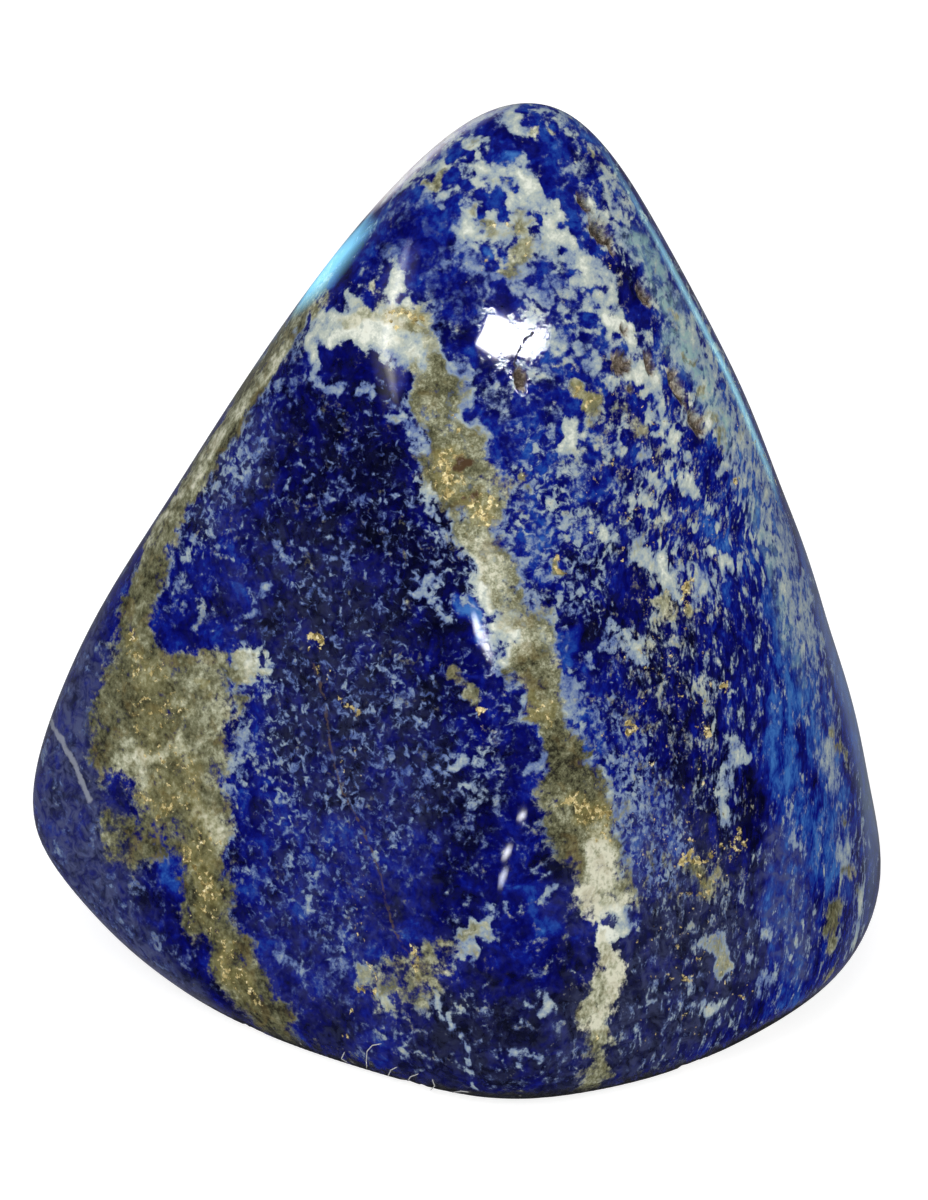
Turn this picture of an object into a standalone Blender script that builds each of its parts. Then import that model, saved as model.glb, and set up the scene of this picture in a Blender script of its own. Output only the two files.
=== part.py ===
# A lapis lazuli freeform: one stone, ground by hand to broad soft-edged faces and polished all over,
# that stands by itself on a small flat foot. Natural pits stay open in its right front face.
# Metres, +Z up. The front faces -Y. The origin lies on the floor, under the middle of the stone's box.

import math

import bmesh
import bpy
import numpy as np
from mathutils import Matrix, Vector

# Driving dimensions
STONE_HEIGHT = 0.080
HEART = np.array((0.001, 0.002, 0.036))  # the middle of an upright line deep inside the stone
SPINE = 0.020  # that line reaches this far above and below its middle
BLEND = 0.0015  # how softly two ground faces run into each other
FARTHEST = 0.090  # no point of the surface is farther than this from the line
STONE_DETAIL = 5  # subdivisions of the round ball that takes the stone's shape
HALVINGS = 40
PIT_DETAIL = 2

# The ground faces. Azimuth is counted in degrees from the front, to the right; tilt is how far the
# face looks up (below zero: down); reach is how far out from the axis it lies at the given height;
# crown is the radius of its slight swell.
#                        azimuth tilt   reach   height   crown
GROUND_FACES = {
    "front_left":        (-31, 12, 0.0159, 0.0300, 0.600),
    "front_right":       (24, 17, 0.0174, 0.0350, 0.400),
    "front_brow":        (-8, 23, 0.0116, 0.0500, 0.400),
    "crest":             (-8, 42, 0.0084, 0.0670, 0.300),
    "left_shoulder":     (-53, 34, 0.0102, 0.0666, 0.300),
    "left_crown":        (-90, 41, 0.0100, 0.0694, 0.500),
    "left_cap":          (-88, 52, 0.0024, 0.0779, 0.300),
    "left":              (-88, 32, 0.0245, 0.0460, 0.900),
    "left_belly":        (-92, 9, 0.0382, 0.0220, 0.200),
    "right":             (59, 16, 0.0268, 0.0330, 0.300),
    "far_right":         (92, 18, 0.0306, 0.0380, 0.260),
    "right_crown":       (80, 29, 0.0180, 0.0660, 0.400),
    "back_left":         (-138, 20, 0.0272, 0.0350, 0.500),
    "back":              (180, 14, 0.0226, 0.0350, 0.300),
    "back_right":        (128, 18, 0.0308, 0.0380, 0.260),
    "back_crown":        (170, 46, 0.0126, 0.0770, 0.300),
    "under_left":        (-85, -43, 0.0344, 0.0060, 0.100),
    "under_front_left":  (-34, -47, 0.0193, 0.0000, 0.110),
    "under_front":       (0, -45, 0.0234, 0.0000, 0.080),
    "under_front_right": (33, -48, 0.0246, 0.0000, 0.125),
    "under_right":       (85, -42, 0.0370, 0.0050, 0.080),
    "under_back":        (180, -45, 0.0266, 0.0030, 0.080),
    "tip":               (-4, 76, 0.0058, 0.0848, 0.120),
}

# The unevenness that hand polishing leaves: swell height, wavelength, azimuth, tilt, phase
POLISH_WAVES = (
    (0.00006, 0.0230, 55, 30, 0.4),
    (0.00005, 0.0170, -75, 15, 2.1),
    (0.00004, 0.0140, 95, -35, 4.0),
    (0.00003, 0.0110, -20, 50, 1.2),
)

# Open pits on the front: place across and up, length, width, depth, lean of the long way in degrees
PITS = {
    "crown_cleft":  (0.0107, 0.0708, 0.0050, 0.0013, 0.0008, 33),
    "cleft_end":    (0.0120, 0.0681, 0.0013, 0.0008, 0.0004, 20),
    "crown_nick":   (0.0148, 0.0643, 0.0019, 0.0010, 0.0005, 30),
    "brow_pit":     (0.0046, 0.0595, 0.0019, 0.0011, 0.0006, 8),
    "right_pocket": (0.0129, 0.0594, 0.0022, 0.0017, 0.0006, 15),
    "right_slit":   (0.0153, 0.0592, 0.0022, 0.0007, 0.0004, 12),
    "long_groove":  (0.0177, 0.0569, 0.0036, 0.0011, 0.0007, 22),
    "lower_groove": (0.0193, 0.0539, 0.0022, 0.0011, 0.0006, 22),
}

# Chips knocked out of the foot's rim: azimuth, length along the rim, width, depth
RIM_CHIPS = {
    "chip_front_left":  (-58, 0.0034, 0.0014, 0.0006),
    "chip_front":       (-14, 0.0028, 0.0012, 0.0005),
    "chip_front_right": (47, 0.0050, 0.0018, 0.0008),
    "chip_right":       (66, 0.0036, 0.0016, 0.0007),
    "chip_back":        (165, 0.0040, 0.0014, 0.0006),
}


def direction(azimuth, tilt):
    """The unit vector that looks to this azimuth and this far up."""
    turn, rise = math.radians(azimuth), math.radians(tilt)
    level = math.cos(rise)
    return np.array((math.sin(turn) * level, -math.cos(turn) * level, math.sin(rise)))


def outside_by(points):
    """How far each point lies outside the stone; below zero it is inside. A face is a very large
    ball, and the stone is what all the balls share, rounded where two of them meet."""
    depths = []
    for azimuth, tilt, reach, height, crown in GROUND_FACES.values():
        touch = direction(azimuth, 0) * reach + np.array((0, 0, height))
        centre = touch - direction(azimuth, tilt) * crown
        depths.append(np.linalg.norm(points - centre, axis=1) - crown)
    depths = np.array(depths)
    most = depths.max(axis=0)
    blended = most + BLEND * np.log(np.exp((depths - most) / BLEND).sum(axis=0))
    for swell, wavelength, azimuth, tilt, phase in POLISH_WAVES:
        along = points @ direction(azimuth, tilt)
        blended += swell * np.sin(2 * math.pi * along / wavelength + phase)
    return blended


def surface_points(starts, ways):
    """Where lines from points inside the stone, along these ways, leave it."""
    near = np.zeros(len(ways))
    far = np.full(len(ways), FARTHEST)
    for _ in range(HALVINGS):
        middle = (near + far) / 2
        inside = outside_by(starts + ways * middle[:, None]) < 0
        near = np.where(inside, middle, near)
        far = np.where(inside, far, middle)
    return starts + ways * near[:, None]


def surface_point(start, way):
    return Vector(surface_points(np.array([start]), np.array([way]))[0])


def surface_normal(point):
    step = 1e-5
    shifts = np.eye(3) * step
    rise = outside_by(np.array(point) + shifts) - outside_by(np.array(point) - shifts)
    return Vector(rise).normalized()


def lapis_material():
    material = bpy.data.materials.new("polished_lapis")
    material.use_nodes = True
    shader = material.node_tree.nodes["Principled BSDF"]
    shader.inputs["Base Color"].default_value = (0.035, 0.055, 0.30, 1)
    shader.inputs["Roughness"].default_value = 0.16
    shader.inputs["Metallic"].default_value = 0.0
    return material


def link_mesh(name, bm):
    mesh = bpy.data.meshes.new(name)
    bm.to_mesh(mesh)
    bm.free()
    mesh.shade_smooth()
    made = bpy.data.objects.new(name, mesh)
    bpy.context.collection.objects.link(made)
    return made


def ground_stone(name):
    """A ball whose points move out from the line inside to the ground faces, sawn off flat at the foot."""
    bm = bmesh.new()
    bmesh.ops.create_icosphere(bm, subdivisions=STONE_DETAIL, radius=1)
    ways = np.array([vertex.co.normalized() for vertex in bm.verts])
    starts = HEART + ways * (0, 0, SPINE)
    for vertex, point in zip(bm.verts, surface_points(starts, ways)):
        vertex.co = point
    everything = bm.verts[:] + bm.edges[:] + bm.faces[:]
    bmesh.ops.bisect_plane(bm, geom=everything, plane_co=(0, 0, 0), plane_no=(0, 0, -1), clear_outer=True)
    rim = [edge for edge in bm.edges if edge.is_boundary]
    foot = bmesh.ops.contextual_create(bm, geom=rim)["faces"]
    bmesh.ops.triangulate(bm, faces=foot)
    bmesh.ops.recalc_face_normals(bm, faces=bm.faces)
    return link_mesh(name, bm)


def cutter(name, centre, long_way, out_way, half_sizes):
    """A hidden ellipsoid: half its length, half its width, and its depth along out_way."""
    bm = bmesh.new()
    bmesh.ops.create_icosphere(bm, subdivisions=PIT_DETAIL, radius=1)
    out = out_way.normalized()
    across = out.cross(long_way).normalized()
    along = across.cross(out)
    frame = Matrix((along, across, out)).transposed().to_4x4()
    bm.transform(Matrix.Translation(centre) @ frame @ Matrix.Diagonal((*half_sizes, 1)))
    made = link_mesh(name, bm)
    made.hide_render = True
    made.display_type = "WIRE"
    return made


def pit_cutter(name, across, up, length, width, depth, lean):
    """A pit whose mouth lies on the front, right in front of the point (across, 0, up)."""
    centre = surface_point((across, 0.002, up), (0, -1, 0))
    normal = surface_normal(centre)
    turn = math.radians(lean)
    long_way = Vector((math.sin(turn), 0, -math.cos(turn)))
    return cutter(name, centre, long_way, normal, (length / 2, width / 2, depth))


def chip_cutter(name, azimuth, length, width, depth):
    """A chip in the foot's rim, centred on the rim itself."""
    centre = surface_point((HEART[0], HEART[1], 0), direction(azimuth, 0))
    out = Vector(direction(azimuth, -40))
    rim_way = Vector(direction(azimuth + 90, 0))
    return cutter(name, centre, rim_way, out, (length / 2, width / 2, depth))


def cut(stone, cutters):
    for tool in cutters:
        hollow = stone.modifiers.new(tool.name, "BOOLEAN")
        hollow.operation = "DIFFERENCE"
        hollow.solver = "EXACT"
        hollow.object = tool


def settle(stone):
    """Scales the ground stone to its height and moves its box's middle over the origin."""
    points = np.array([vertex.co for vertex in stone.data.vertices])
    low, high = points.min(axis=0), points.max(axis=0)
    scale = STONE_HEIGHT / (high[2] - low[2])
    middle = Vector(((low[0] + high[0]) / 2, (low[1] + high[1]) / 2, low[2]))
    return Matrix.Scale(scale, 4) @ Matrix.Translation(-middle)


def main():
    for old in list(bpy.data.objects):
        bpy.data.objects.remove(old)
    stone = ground_stone("lapis_stone")
    stone.data.materials.append(lapis_material())
    cutters = [pit_cutter(name, *sizes) for name, sizes in PITS.items()]
    cutters += [chip_cutter(name, *sizes) for name, sizes in RIM_CHIPS.items()]
    placing = settle(stone)
    for made in [stone, *cutters]:
        made.data.transform(placing)
    cut(stone, cutters)


main()
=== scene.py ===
# A polished lapis lazuli freeform standing on a pale floor. Metres, +Z up, the front faces -Y.
import math

import bpy
import numpy as np
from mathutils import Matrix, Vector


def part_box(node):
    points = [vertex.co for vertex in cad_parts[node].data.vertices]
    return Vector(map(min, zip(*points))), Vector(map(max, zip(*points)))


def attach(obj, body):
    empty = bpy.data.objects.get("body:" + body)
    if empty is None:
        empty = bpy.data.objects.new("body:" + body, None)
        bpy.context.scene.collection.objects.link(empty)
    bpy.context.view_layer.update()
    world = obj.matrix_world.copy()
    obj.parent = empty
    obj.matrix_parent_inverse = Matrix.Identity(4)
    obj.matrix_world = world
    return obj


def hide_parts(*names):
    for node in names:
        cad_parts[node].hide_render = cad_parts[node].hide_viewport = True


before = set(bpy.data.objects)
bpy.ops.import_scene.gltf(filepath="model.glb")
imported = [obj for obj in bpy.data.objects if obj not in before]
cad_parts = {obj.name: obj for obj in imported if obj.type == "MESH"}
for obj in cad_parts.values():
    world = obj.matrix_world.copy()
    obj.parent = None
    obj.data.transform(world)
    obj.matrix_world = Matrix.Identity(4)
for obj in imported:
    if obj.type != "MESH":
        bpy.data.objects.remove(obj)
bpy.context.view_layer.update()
print("frame loaded")

view = {
    "elevation": 25,                       # degrees above the floor
    "aim": (0.00055, -0.0018, 0.03707),    # the point at the middle of the picture
    "distance": 0.3646,
    "pictureMiddle": (464, 600),
    "metresPerPixel": 0.0000863,           # at the aim, on a picture 1200 pixels high
    "pictureHeight": 1200,
    "sensor": 36,
    "searchReach": 0.060,                  # a line of sight is searched this far before and past the aim
    "searchSteps": 481,
}

# The ground faces: azimuth from the front to the right, tilt upwards, reach out from the axis at a
# height, and the radius of the swell. Degrees and metres.
stone = {
    "heart": (0.001, 0.002, 0.036),
    "spine": 0.020,
    "softness": 0.0015,
    "farthest": 0.090,
    "footSoftness": 0.00025,
    "hollowSoftness": 0.00006,
    "halvings": 40,                        # how often the way out of the stone is halved
    "crumbWave": 0.00055,                  # the unevenness of broken places: its wavelength
    "crumbShare": 0.25,                    # and its share of a hollow's size
    "gridSteps": 128,
    "frontCrowding": 0.34,                 # how far the grid's points gather on the front
    "faces": {
        "frontLeft":       (-31, 12, 0.0159, 0.0300, 0.600),
        "frontRight":      (24, 17, 0.0174, 0.0350, 0.400),
        "frontBrow":       (-8, 23, 0.0116, 0.0500, 0.400),
        "crest":           (-8, 42, 0.0084, 0.0670, 0.300),
        "leftShoulder":    (-53, 34, 0.0102, 0.0666, 0.300),
        "leftCrown":       (-90, 41, 0.0100, 0.0694, 0.500),
        "leftCap":         (-88, 52, 0.0024, 0.0779, 0.300),
        "left":            (-88, 32, 0.0245, 0.0460, 0.900),
        "leftBelly":       (-92, 9, 0.0382, 0.0220, 0.200),
        "right":           (59, 16, 0.0268, 0.0330, 0.300),
        "farRight":        (92, 18, 0.0306, 0.0380, 0.260),
        "rightCrown":      (80, 29, 0.0180, 0.0660, 0.400),
        "backLeft":        (-138, 20, 0.0272, 0.0350, 0.500),
        "back":            (180, 14, 0.0226, 0.0350, 0.300),
        "backRight":       (128, 18, 0.0308, 0.0380, 0.260),
        "backCrown":       (170, 46, 0.0126, 0.0770, 0.300),
        "underLeft":       (-85, -43, 0.0344, 0.0060, 0.100),
        "underFrontLeft":  (-34, -47, 0.0193, 0.0000, 0.110),
        "underFront":      (0, -45, 0.0234, 0.0000, 0.080),
        "underFrontRight": (33, -48, 0.0246, 0.0000, 0.125),
        "underRight":      (85, -42, 0.0370, 0.0050, 0.080),
        "underBack":       (180, -45, 0.0266, 0.0030, 0.080),
        "tip":             (-4, 76, 0.0058, 0.0848, 0.120),
    },
    # Swell height, wavelength, azimuth, tilt and phase of the unevenness that hand polishing leaves
    "polishWaves": (
        (0.00006, 0.0230, 55, 30, 0.4),
        (0.00005, 0.0170, -75, 15, 2.1),
        (0.00004, 0.0140, 95, -35, 4.0),
        (0.00003, 0.0110, -20, 50, 1.2),
    ),
    # Open pits: the picture pixels at their two ends, their width and their depth in metres
    "pits": {
        "crownStart":   ((580, 197), (588, 209), 0.0007, 0.0005),
        "crownCleft":   ((592, 222), (607, 242), 0.0013, 0.0009),
        "cleftEnd":     ((611, 250), (613, 253), 0.0005, 0.0004),
        "flowerDot":    ((622, 327), (626, 334), 0.0006, 0.0004),
        "crownNick":    ((639, 288), (648, 303), 0.0009, 0.0005),
        "browPit":      ((519, 370), (521, 386), 0.0010, 0.0007),
        "rightPocket":  ((618, 358), (624, 370), 0.0015, 0.0007),
        "pocketDot":    ((629, 387), (631, 390), 0.0006, 0.0004),
        "rightSlit":    ((647, 355), (651, 372), 0.0008, 0.0005),
        "longGroove":   ((671, 374), (683, 399), 0.0010, 0.0008),
        "lowerGroove":  ((692, 414), (700, 429), 0.0013, 0.0007),
    },
    # Chips in the foot's rim: azimuth, length, width and depth
    "chips": {
        "frontLeft":  (-58, 0.0034, 0.0014, 0.0006),
        "front":      (-14, 0.0028, 0.0012, 0.0005),
        "frontRight": (47, 0.0050, 0.0018, 0.0008),
        "right":      (66, 0.0036, 0.0016, 0.0007),
        "back":       (165, 0.0040, 0.0014, 0.0006),
    },
}

# Brush strokes of mineral, and a few of painted shade, highlight and floor reflection, by place and by
# the field that they paint. Each has the value that it brings, half its width in picture pixels, and the
# pixels of its line, across and down in turn. A later stroke of a field covers an earlier one, also from
# one place to the next.
fieldStart = {
    "pale": -0.6, "olive": -1.3, "gold": -1.9, "tone": 0.0, "white": 0.0, "fleck": 0.3,
    "greyHazeAndReflection": 0.1, "round": 0.0, "green": 0.0, "underShade": 0.0, "grainy": 0.45, "rust": 0.0,
}
strokes = {
    "regions": {
        "gold": [
            (-0.95, 30, 310, 650, 350, 720, 380, 980), (-1.1, 60, 520, 260, 600, 300, 660, 340),
            (-0.85, 40, 600, 380, 660, 440, 700, 520),
            (-0.8, 70, 620, 480, 680, 600, 650, 720, 700, 900, 690, 1000),
        ],
        "green": [
            (1.0, 17, 640, 240, 668, 300, 702, 380, 726, 430), (0.6, 12, 752, 500, 776, 590, 800, 680),
        ],
        # Painted contact shade: a dark rim along the bottom edge, where the stone meets the floor
        "underShade": [
            (0.5, 7, 150, 962, 211, 1003, 281, 1036, 351, 1061, 422, 1081, 492, 1094, 562, 1091, 633, 1078),
            (0.5, 6, 640, 1078, 703, 1056, 740, 1040, 773, 1021),
        ],
        # A grey haze over the blue: partly the stone's own grey, and low on the stone, most of all down the
        # lower left edge, a painted reflection of the pale floor
        "greyHazeAndReflection": [
            (1.7, 60, 60, 600, 60, 760, 90, 900, 170, 990), (1.6, 28, 780, 860, 796, 960),
            (0.9, 80, 640, 880, 700, 960, 620, 1040),
            (0.5, 90, 300, 620, 360, 760, 330, 1000, 440, 1040), (0.7, 40, 250, 440, 220, 500),
        ],
        "round": [
            (0.9, 110, 480, 170, 560, 230, 600, 300, 680, 380, 720, 520),
        ],
        "olive": [
            (-0.85, 60, 640, 420, 690, 560, 660, 700, 690, 900),
        ],
        "pale": [
            (0.15, 100, 470, 170, 560, 230, 600, 300), (0.0, 70, 660, 330, 700, 430),
            (-0.3, 90, 620, 470, 690, 560, 740, 640), (-0.5, 70, 600, 690, 690, 780),
            (0.0, 44, 532, 400, 552, 470, 566, 560), (-0.45, 80, 640, 900, 700, 980),
            (-0.68, 70, 400, 930, 440, 900, 520, 960, 480, 1050), (-0.4, 90, 280, 700, 400, 780),
            (-0.6, 80, 300, 430, 420, 560, 360, 620), (-0.25, 45, 800, 600, 830, 760, 850, 880),
            (-0.35, 34, 400, 230, 430, 280, 450, 300), (-0.3, 60, 280, 880, 330, 960),
            (-0.5, 60, 90, 880, 160, 980), (0.45, 36, 730, 420, 790, 560, 806, 640),
            (0.1, 34, 606, 740, 640, 800, 650, 850),
        ],
        "white": [
            (0.6, 110, 470, 170, 560, 230, 600, 300), (0.5, 90, 600, 400, 690, 520, 720, 640),
            (-0.7, 110, 310, 440, 330, 620, 380, 700, 360, 860, 280, 960, 100, 880, 90, 640),
            (-0.5, 44, 606, 740, 640, 800, 650, 850),
        ],
        "fleck": [
            (0.5, 110, 470, 170, 560, 230, 600, 300),
            (1.0, 90, 240, 480, 360, 460, 420, 560, 300, 660, 420, 700, 300, 860),
            (0.9, 60, 560, 470, 590, 520, 600, 640), (0.5, 60, 480, 900, 480, 1040),
            (0.15, 60, 650, 900, 690, 1000), (0.0, 60, 640, 480, 700, 600),
            (0.9, 50, 606, 740, 640, 800, 650, 850),
        ],
        "tone": [
            (0.3, 70, 640, 470, 690, 550), (0.5, 50, 520, 470, 560, 560),
            (-1.0, 90, 310, 440, 400, 540, 330, 620), (-1.2, 22, 385, 540, 400, 600, 392, 640),
            (-0.9, 90, 400, 660, 360, 740, 430, 820), (0.0, 70, 270, 900, 330, 950, 370, 880),
            (1.2, 46, 700, 330, 760, 470, 800, 620, 800, 720, 830, 850), (0.8, 40, 760, 800, 770, 960),
            (-0.7, 80, 620, 620, 640, 720, 700, 860), (0.1, 34, 596, 700, 630, 780, 650, 850),
            (-1.3, 80, 480, 1060, 600, 1040, 700, 960), (-0.7, 50, 70, 760, 120, 900, 200, 990),
            (0.4, 30, 420, 260, 450, 285), (-0.5, 40, 70, 850, 110, 930), (-0.5, 40, 60, 740, 90, 620),
        ],
    },
    "top": {
        "tone": [
            (0.5, 110, 460, 150, 540, 170, 600, 260, 640, 330), (0.2, 22, 484, 128, 504, 142),
            (0.8, 10, 454, 172, 466, 182), (1.6, 8, 496, 150, 508, 154), (1.7, 10, 484, 250, 498, 256),
            (-0.5, 14, 619, 276, 645, 322), (0.3, 22, 412, 262, 436, 284),
        ],
        "fleck": [
            (0.6, 110, 460, 160, 560, 230, 620, 300),
        ],
        "round": [
            (0.6, 110, 460, 160, 560, 230, 620, 300),
        ],
        "pale": [
            (-0.3, 34, 500, 130, 580, 170), (0.3, 28, 524, 208, 562, 256),
            (0.9, 9, 380, 194, 450, 140, 521, 104), (0.9, 12, 514, 122, 528, 132),
            (-1.3, 10, 486, 130, 503, 138), (-1.0, 7, 516, 138, 530, 144),
            (-1.1, 5, 517, 109, 530, 111), (-1.1, 7, 542, 125, 558, 133), (0.7, 7, 562, 116, 574, 122),
            (0.8, 8, 460, 148, 484, 141), (-1.3, 8, 446, 160, 474, 165), (-1.2, 9, 454, 172, 466, 182),
            (1.3, 9, 484, 162, 498, 163), (-1.2, 8, 496, 177, 512, 186), (1.1, 14, 518, 170, 532, 190),
            (-0.9, 4, 512, 188, 522, 196), (-0.9, 4, 538, 164, 540, 176), (0.8, 9, 476, 172, 490, 184),
            (0.8, 8, 450, 190, 472, 190), (-1.2, 9, 482, 198, 503, 209), (-1.2, 6, 452, 201, 458, 205),
            (-1.2, 6, 437, 221, 448, 226), (-1.1, 6, 416, 195, 424, 201), (1.0, 10, 460, 224, 468, 236),
            (0.1, 11, 482, 248, 500, 258), (1.0, 14, 554, 222, 576, 250, 592, 266),
            (-0.9, 4, 560, 250, 566, 258), (-1.3, 5, 532, 218, 537, 223),
            (-1.1, 8, 530, 142, 549, 166, 556, 190),
            (-1.1, 9, 553, 190, 566, 214, 580, 234, 597, 255, 619, 276), (-1.0, 11, 619, 276, 640, 320),
            # The thin strong strokes along the right rim of the crown cleft, and beside the grooves lower
            # down, are pale crumbly rims with a painted highlight on them
            (1.0, 6, 592, 202, 600, 210, 610, 224, 616, 240), (1.1, 4, 615, 250, 623, 270),
            (1.5, 3, 600, 216, 610, 230, 616, 246), (-0.2, 36, 405, 235, 438, 290),
            (0.0, 22, 470, 270, 500, 290), (-1.0, 11, 504, 284, 508, 300),
            (-1.0, 10, 538, 286, 544, 298), (0.9, 11, 576, 290, 588, 302, 610, 320),
            (0.8, 9, 598, 288, 612, 292), (-1.2, 9, 568, 316, 590, 318), (-1.2, 8, 570, 338, 584, 342),
            (1.1, 10, 615, 322, 630, 334), (0.9, 9, 578, 346, 592, 360),
            (1.2, 12, 634, 350, 640, 372, 646, 390), (1.2, 5, 606, 384, 609, 390),
            (1.5, 4, 662, 360, 668, 372), (1.5, 4, 686, 404, 691, 411), (1.4, 4, 704, 420, 706, 432),
            (1.3, 4, 630, 376, 627, 380), (0.3, 16, 664, 290, 690, 350),
            (0.45, 13, 474, 268, 500, 284, 548, 290),
        ],
        "white": [
            (-0.3, 12, 380, 194, 450, 140, 521, 104), (0.6, 18, 556, 224, 576, 250, 594, 270),
            # The thin strong white strokes along the crown cleft and the grooves are a painted highlight on
            # pale crumbly rims
            (0.7, 18, 514, 230, 528, 246, 522, 268), (1.2, 8, 590, 200, 600, 208, 610, 222, 618, 256),
            (2.2, 4, 600, 216, 610, 230, 616, 246), (-0.9, 40, 400, 225, 440, 290),
            (1.2, 12, 615, 322, 630, 334), (1.0, 14, 634, 350, 640, 372, 646, 390),
            (2.0, 5, 662, 360, 668, 372, 688, 408, 706, 430), (1.6, 5, 695, 376, 697, 386),
            (-0.1, 22, 654, 240, 690, 340), (-0.3, 15, 474, 268, 500, 284, 548, 290),
        ],
        "olive": [
            (0.5, 6, 534, 130, 545, 136), (0.3, 6, 464, 147, 478, 143), (0.8, 9, 425, 181, 439, 176),
            (0.2, 6, 466, 206, 472, 212), (0.2, 8, 482, 234, 506, 234),
            (0.7, 16, 514, 230, 528, 246, 522, 268), (0.5, 5, 590, 206, 598, 214),
            (0.5, 6, 584, 144, 590, 150), (0.6, 8, 668, 312, 675, 320), (0.6, 6, 692, 356, 696, 364),
            (0.7, 7, 694, 374, 697, 388),
        ],
        "gold": [
            (-0.2, 14, 508, 228, 530, 250), (0.3, 6, 668, 312, 675, 320),
        ],
    },
    "rightFace": {
        "olive": [
            (0.7, 10, 578, 386, 592, 410), (0.3, 8, 640, 424, 650, 426), (0.1, 10, 706, 410, 720, 440),
            (0.8, 11, 658, 598, 670, 616), (0.5, 10, 690, 604, 696, 612),
        ],
        "gold": [
            (0.4, 8, 578, 388, 590, 404), (0.6, 9, 684, 592, 692, 608), (0.4, 6, 618, 724, 628, 727),
        ],
        "pale": [
            (1.4, 11, 566, 432, 576, 440), (1.1, 9, 642, 388, 654, 407, 674, 431, 672, 444),
            (-1.4, 9, 612, 402, 642, 410), (0.7, 20, 694, 344, 712, 400, 728, 444),
            (-1.5, 12, 686, 442, 712, 452), (1.0, 8, 684, 464, 692, 492, 704, 512, 722, 536),
            (-1.3, 8, 706, 526, 726, 545), (1.1, 7, 720, 556, 726, 566), (1.1, 8, 703, 570, 708, 586),
            (1.0, 17, 646, 554, 672, 574), (-1.4, 16, 630, 584, 636, 612), (0.8, 9, 632, 497, 648, 500),
            (0.7, 8, 598, 524, 606, 534), (1.0, 7, 616, 632, 642, 638),
            (0.9, 8, 594, 664, 606, 650, 634, 652),
        ],
        "white": [
            (0.9, 13, 566, 432, 576, 440), (0.6, 11, 642, 388, 654, 407, 674, 431),
            (0.3, 24, 694, 344, 712, 400, 728, 444), (-0.4, 12, 703, 570, 708, 586),
            (0.6, 18, 646, 558, 672, 576),
        ],
        "tone": [
            (1.3, 10, 706, 526, 726, 545),
        ],
    },
    "middleVein": {
        "pale": [
            (0.5, 30, 436, 370, 446, 420, 462, 500, 496, 570, 520, 640),
            (1.2, 10, 422, 372, 438, 362, 456, 372, 464, 400, 468, 440),
            (1.3, 8, 478, 562, 490, 594, 500, 630, 506, 650), (1.3, 10, 614, 910, 622, 918, 606, 940),
            (1.2, 7, 392, 410, 410, 425, 418, 450), (0.9, 7, 532, 766, 544, 764),
            (0.9, 4, 498, 668, 512, 692, 528, 716, 543, 738), (1.0, 16, 566, 680, 576, 708),
            (-1.6, 13, 550, 862, 556, 876), (1.1, 7, 544, 888, 556, 898),
            (0.8, 8, 410, 582, 440, 596, 450, 614), (0.6, 9, 402, 768, 444, 766, 470, 766),
        ],
        "grainy": [
            (1.1, 40, 436, 370, 446, 420, 462, 500, 496, 570, 520, 640, 545, 720, 590, 830),
        ],
        "olive": [
            (1.0, 22, 436, 380, 446, 420, 452, 450), (0.9, 21, 430, 372, 442, 392),
            (1.1, 25, 450, 456, 462, 484, 472, 512), (0.7, 16, 482, 466, 494, 486),
            (0.5, 8, 524, 474, 532, 486), (0.6, 6, 552, 546, 556, 566),
            (0.9, 20, 474, 530, 494, 560, 512, 594, 526, 640, 536, 672),
            (1.2, 20, 534, 680, 546, 706, 556, 724), (1.2, 16, 560, 744, 568, 760),
            (1.2, 24, 572, 776, 582, 800), (1.2, 37, 576, 812, 590, 836), (1.2, 28, 598, 856, 602, 884),
            (0.9, 8, 606, 940, 606, 960), (1.3, 13, 606, 956, 603, 972), (1.3, 21, 602, 984, 600, 1008),
            (1.0, 15, 598, 1030, 600, 1060, 590, 1085), (0.6, 8, 458, 674, 474, 702),
        ],
        "white": [
            (0.6, 22, 428, 366, 446, 384), (-1.2, 8, 433, 377, 436, 381),
            (1.3, 17, 484, 560, 498, 594, 514, 640, 520, 656), (-0.2, 20, 440, 380, 446, 420),
            (-1.1, 12, 560, 812, 574, 828), (-0.4, 30, 534, 680, 556, 730, 590, 820),
            (2.1, 20, 600, 846, 606, 880, 602, 904), (2.0, 26, 606, 944, 602, 990, 600, 1008),
            (-1.6, 6, 463, 468, 466, 488), (-0.4, 6, 498, 668, 512, 692, 528, 716, 543, 738),
            (-0.5, 12, 528, 766, 544, 764), (-0.2, 18, 566, 680, 578, 712),
        ],
        "gold": [
            (0.9, 3, 439, 409, 441, 412), (0.9, 3, 461, 419, 463, 423), (0.6, 4, 432, 376, 437, 380),
            (0.1, 5, 526, 474, 532, 480), (0.5, 5, 554, 548, 560, 566),
            (0.1, 20, 450, 462, 456, 486, 474, 514), (-1.0, 5, 463, 468, 466, 488),
            (0.1, 15, 534, 702, 550, 716), (0.35, 18, 574, 798, 604, 824), (0.4, 8, 606, 828, 614, 840),
            (0.2, 6, 594, 1036, 602, 1044), (0.3, 5, 478, 712, 486, 722),
        ],
        "rust": [
            (0.8, 8, 466, 456, 462, 470, 467, 486, 462, 496), (0.8, 4, 432, 376, 438, 380),
        ],
        "tone": [
            (1.2, 16, 560, 640, 572, 700, 590, 740), (-1.2, 13, 550, 862, 556, 876),
            (1.4, 9, 468, 598, 478, 632), (1.4, 10, 545, 736, 560, 740), (0.5, 14, 540, 925, 570, 940),
            (0.7, 10, 512, 892, 534, 906),
        ],
    },
    "upperLeft": {
        "pale": [
            (1.4, 22, 326, 326, 352, 318, 380, 326, 408, 340), (1.2, 9, 398, 282, 392, 304),
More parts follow.
